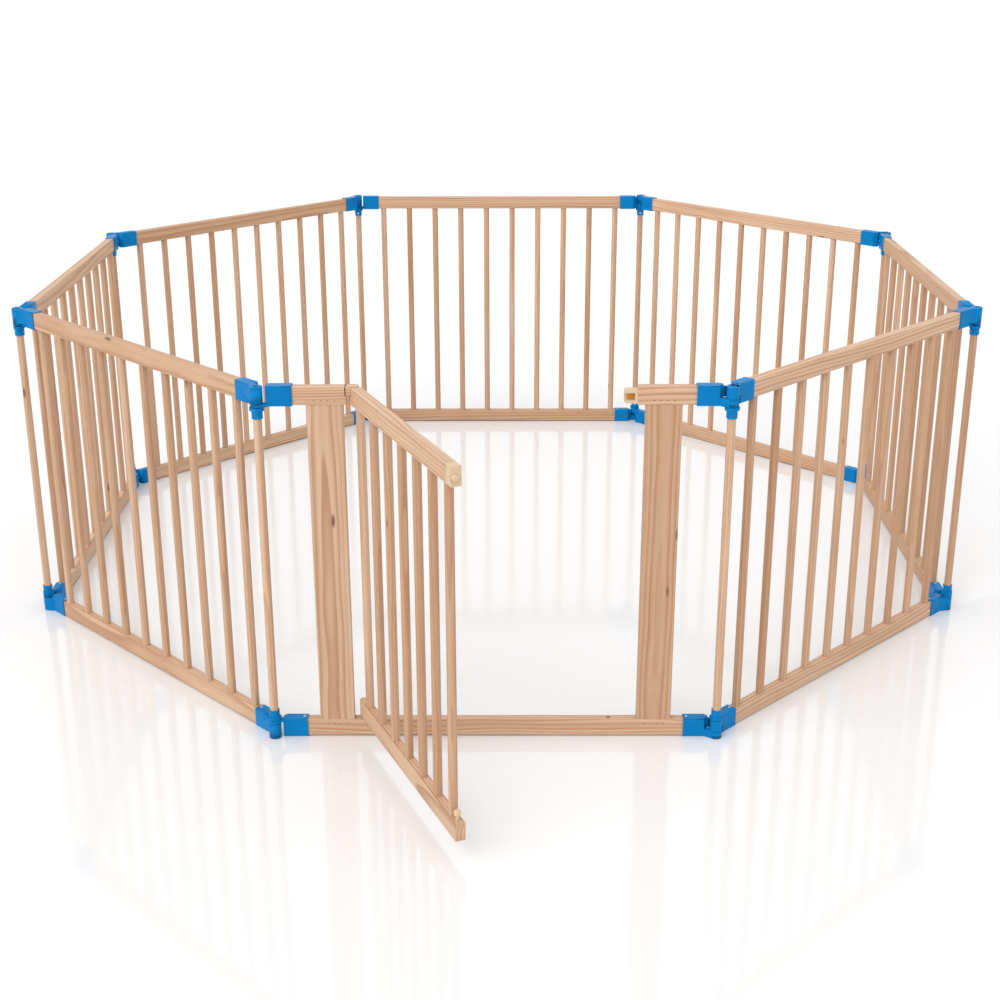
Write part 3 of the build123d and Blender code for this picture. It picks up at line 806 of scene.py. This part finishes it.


# ---- Brads ------------------------------------------------------------------------------------
# Headless steel brads that pin the boards' tenons, four at each end of each board. Each is punched
# just below the surface of the rail; their steel is coloured very dark, partly its own stain and partly
# painted shade for the hole each sits in.
brad_sink = 0.0005
brads = []
for start in board_starts:
    for z in (rail_high.z - brad_edge, latch_rail_low.z + brad_edge):
        heads = brad_holes(start, z)
        moved(heads, (0, brad_depth + brad_sink, 0))
        brads.append(heads)
brads = smooth(joined("steel_brads", brads))


def dulled_steel(name):
    """Bare steel wire ends, dulled and a little stained; their very dark brown is mostly painted shade for
    the holes they sit in.
    """
    look = Finish(name)
    place = look.node("TexCoord", {}, {}, "Object")
    stain_and_painted_shade = look.node("TexNoise", {}, {"Vector": place, "Scale": 700.0, "Detail": 3.0})
    # very dark browns: the steel's own stain plus painted shade that stands in for the shadow in each brad
    # hole
    colour = look.mix(stain_and_painted_shade, (0.035, 0.018, 0.010, 1), (0.13, 0.075, 0.045, 1))
    return look.surface(Base_Color=colour, Roughness=0.45 + stain_and_painted_shade * 0.3, Metallic=0.6)


dress(brads, dulled_steel("stained_steel"), "steel_fasteners", "gate_panel", "gate_panel_brads")


# ---- Latch striker ----------------------------------------------------------------------------
# Cream plastic striker pegged into the end of the latch-side rail, open to the front and towards
# the gate so that the nub swings in, with a soft amber pad on its back wall.
striker_low, striker_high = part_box("gate_panel_latch_striker")
striker_end = latch_rail_low.x
pocket_height = 0.0144
pocket_end_wall = 0.005
pocket_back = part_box("gate_panel_striker_buffer")[1].y
nub_z = (striker_low.z + striker_high.z) / 2


def satin_moulding(name, light, dark, scale):
    """Satin plastic or rubber with a soft mottle."""
    look = Finish(name)
    place = look.node("TexCoord", {}, {}, "Object")
    mottle = look.node("TexNoise", {}, {"Vector": place, "Scale": scale, "Detail": 4.0})
    grain = look.node("TexNoise", {}, {"Vector": place, "Scale": 1800.0, "Detail": 2.0})
    colour = look.mix(mottle, light, dark)
    bump = look.node("Bump", {}, {"Strength": 0.12, "Distance": 0.0003, "Height": grain * 0.7 + mottle * 0.3})
    return look.surface(Base_Color=colour, Roughness=0.36 + mottle * 0.2, Normal=bump)


cream_plastic = satin_moulding("cream_moulded_plastic", (0.62, 0.47, 0.30, 1), (0.52, 0.37, 0.22, 1), 60.0)
amber_rubber = satin_moulding("amber_rubber", (0.62, 0.30, 0.06, 1), (0.45, 0.19, 0.03, 1), 90.0)
striker = block("latch_striker_cream", striker_low, (striker_end, striker_high.y, striker_high.z))
eased(striker, lambda a, b: lies_along(1)(a, b) and a.x < striker_low.x + 0.001, 0.004, 5)
eased(striker, lambda a, b: lies_along(0)(a, b) and a.y < rail_y and a.z > nub_z, 0.003, 4)
carved(striker, block("pocket", (striker_low.x - 0.01, striker_low.y - 0.01, nub_z - pocket_height / 2),
                      (striker_end - pocket_end_wall, pocket_back, nub_z + pocket_height / 2)))
softened(striker, 0.0005)
dress(striker, cream_plastic, "cream_plastic", "gate_panel", "gate_panel_latch_striker")

pad_low, pad_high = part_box("gate_panel_striker_buffer")
pad = block("striker_pad_amber", pad_low, pad_high)
softened(pad, 0.0004)
dress(pad, amber_rubber, "buffer_rubber", "gate_panel", "gate_panel_striker_buffer")


# ---- Gate leaf --------------------------------------------------------------------------------
# Small barred gate, made shut and then swung open about its hinge axis. The top rail has the lower
# tongue of the half lap; both rails and the bars are the same pine as the panels.
gate_length = 0.510
cap_length = 0.020
gate_bar_first = 0.034
gate_bar_gap = 0.074
gate_bar_count = 7
bolt_way_radius = 0.0037
leaf_low_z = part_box("gate_bottom_rail")[0].z
leaf_top_z = hinge_rail_low.z


def swung(piece):
    """Opens a piece of the leaf to where the gate stands."""
    return turned(piece, -gate_open, Vector((gate_axis.x, gate_axis.y, 0)))


gate_top = block("gate_top_rail_pine", (gate_axis.x + lap_setback, rail_low.y, leaf_top_z),
                 (gate_axis.x + gate_length - cap_length, rail_high.y, leaf_top_z + rail_height))
eased(gate_top, lies_along(0), rail_edge)
welded(gate_top, tongue(leaf_top_z, lap_z - lap_gap / 2, 1))
softened(gate_top, joint_edge)
from_log(gate_top, "X", "gate top")
swung(gate_top)
dress(gate_top, rail_pine, "pine_rails", "gate_leaf", "gate_top_rail")

gate_bottom = block("gate_bottom_rail_pine", (gate_axis.x, rail_low.y, leaf_low_z),
                    (gate_axis.x + gate_length, rail_high.y, leaf_low_z + rail_height))
eased(gate_bottom, lies_along(0), rail_edge)
welded(gate_bottom, rod("round_end", gate_axis.x, rail_y, leaf_low_z, leaf_low_z + rail_height,
                        rail_thickness / 2, 48))
carved(gate_bottom, rod("bolt_way", bolt_hole_x, rail_y, leaf_low_z - 0.01, leaf_low_z + 0.06,
                        bolt_way_radius, 32))
softened(gate_bottom, joint_edge)
from_log(gate_bottom, "X", "gate bottom")
swung(gate_bottom)
dress(gate_bottom, rail_pine, "pine_rails", "gate_leaf", "gate_bottom_rail")

short_bar = rod("short_bar", 0, rail_y, leaf_low_z + rail_height - bar_let_in,
                leaf_top_z + bar_let_in, bar_radius)
eased(short_bar, is_round_end, bar_chamfer, 1)
smooth(short_bar, 50)
gate_bars = bar_row("gate_bars_pine", short_bar,
                    [gate_axis.x + gate_bar_first + gate_bar_gap * i for i in range(gate_bar_count)])
swung(gate_bars)
dress(gate_bars, bar_pine, "pine_bars", "gate_leaf", "gate_bars")


# ---- Gate hinge -------------------------------------------------------------------------------
# A steel pin hidden in the half lap at the top, and one between leaf and sill at the bottom, with
# a cream washer that carries the leaf.
for node, finish in (("gate_hinge_pins", steel), ("gate_hinge_washer", cream_plastic)):
    for place in frame["nodes"][node].material_slots:
        place.material = finish


# ---- Latch on the leaf ------------------------------------------------------------------------
# Cream cap on the free end of the top rail, with a round sprung nub that clicks into the striker,
# and an upright bolt with a knob at the foot that drops into the sill.
nub_radius = 0.0064
nub_y = rail_y - 0.0024
nub_reach = 0.006
nub_tail = 0.0108
nub_dome = 0.0025
nub_bore_depth = 0.0174
nub_play = 0.00025
cap_pin_radius = 0.0016
bolt_radius = 0.0035
bolt_tip = 0.0009
bolt_lift = 0.0083
knob_radius = 0.0065
knob_edge = 0.002
cap_end = gate_axis.x + gate_length
cap = block("end_cap_cream", (cap_end - cap_length, rail_low.y, leaf_top_z),
            (cap_end, rail_high.y, leaf_top_z + rail_height))
eased(cap, lies_along(0), 0.0015)


def lying_rod(name, x0, x1, z, radius, axis="Y", y=rail_y, sides=48):
    """Round piece along the leaf, or across it when turned about X."""
    piece = rod(name, 0, 0, -(x1 - x0) / 2, (x1 - x0) / 2, radius, sides)
    select_only(piece)
    bpy.ops.transform.rotate(value=math.pi / 2, orient_axis=axis, center_override=(0, 0, 0))
    settle(piece)
    return moved(piece, ((x0 + x1) / 2, y, z) if axis == "Y" else (x0, y, z))


pin_hole = lying_rod("pin_hole", cap_end - cap_length / 2, cap_end - cap_length / 2 + 0.01, nub_z,
                     cap_pin_radius, axis="X", y=rail_low.y, sides=24)
nub_bore = lying_rod("nub_bore", cap_end - nub_bore_depth, cap_end + 0.01, nub_z,
                     nub_radius + nub_play, y=nub_y)
carved(cap, nub_bore, pin_hole)
softened(cap, 0.0005)
swung(cap)
dress(cap, cream_plastic, "cream_plastic", "gate_leaf", "gate_end_cap")

nub = lying_rod("latch_nub_cream", cap_end - nub_tail, cap_end + nub_reach, nub_z, nub_radius, y=nub_y)
eased(nub, lambda a, b: min(a.x, b.x) > cap_end + nub_reach - 0.0001, nub_dome, 5)
smooth(nub)
swung(nub)
dress(nub, cream_plastic, "cream_plastic", "latch_nub", "latch_nub")

bolt_low, bolt_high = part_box("gate_bolt")
knob_z = leaf_low_z + rail_height + bolt_lift
bolt = rod("gate_bolt_cream", bolt_hole_x, rail_y, bolt_low.z, knob_z + 0.005, bolt_radius, 32)
eased(bolt, lambda a, b: is_round_end(a, b) and a.z < bolt_low.z + past, bolt_tip, 2)
knob = rod("knob", bolt_hole_x, rail_y, knob_z, bolt_high.z, knob_radius, 40)
eased(knob, is_round_end, knob_edge, 4)
welded(bolt, knob)
smooth(bolt)
swung(bolt)
dress(bolt, cream_plastic, "cream_plastic", "gate_bolt", "gate_bolt")


# ---- Floor, light and camera ------------------------------------------------------------------
# A white, slightly glossy studio floor that holds faint reflections, two broad soft lights, and a
# white surround. The camera stands in front of the gate, a little above the top rails.
def floor_finish(name):
    """White gloss with faint changes in its sheen."""
    look = Finish(name)
    place = look.node("TexCoord", {}, {}, "Object")
    drift = look.node("TexNoise", {}, {"Vector": place, "Scale": 0.8, "Detail": 2.0})
    return look.surface(Base_Color=(0.74, 0.74, 0.74, 1), Roughness=0.06 + drift * 0.06,
                        Specular_IOR_Level=1.0)


bpy.ops.object.select_all(action="DESELECT")
bpy.ops.mesh.primitive_plane_add(size=60, location=(0, 0, 0))
floor = bpy.context.active_object
floor.name = "studio_floor"
floor.data.materials.append(floor_finish("white_gloss_floor"))


def soft_light(name, towards, strength):
    """Broad, even light from one side."""
    bpy.ops.object.light_add(type="SUN", location=Vector(towards) * -4)
    light = bpy.context.active_object
    light.name = name
    light.data.energy = strength
    light.data.angle = math.radians(65)
    light.rotation_euler = Vector(towards).to_track_quat("-Z", "Y").to_euler()
    return light


soft_light("key_light", (0.60, 0.60, -0.62), 1.9)
soft_light("fill_light", (-0.75, 0.45, -0.45), 0.55)

world = bpy.data.worlds.new("white_surround")
bpy.context.scene.world = world
world.use_nodes = True
world.node_tree.nodes["Background"].inputs["Color"].default_value = (1.0, 1.0, 1.0, 1)
world.node_tree.nodes["Background"].inputs["Strength"].default_value = 1.0
bpy.context.scene.view_settings.view_transform = "Standard"

camera_place = ring_middle + Vector((0.0232, -3.9303, 1.5703))
camera_pitch = 0.35493
camera_yaw = 0.00385
camera_roll = 0.00184
bpy.ops.object.camera_add(location=camera_place,
                          rotation=(math.pi / 2 - camera_pitch, camera_roll, camera_yaw))
camera = bpy.context.active_object
camera.data.sensor_width = 36.0
camera.data.lens = 56.47
bpy.context.scene.camera = camera

for leftover in (plain_rail, plain_bar, plain_post, short_bar, socket_set, rail_screws, collar_screws,
                 master_screw, upright):
    bpy.data.objects.remove(leftover, do_unlink=True)
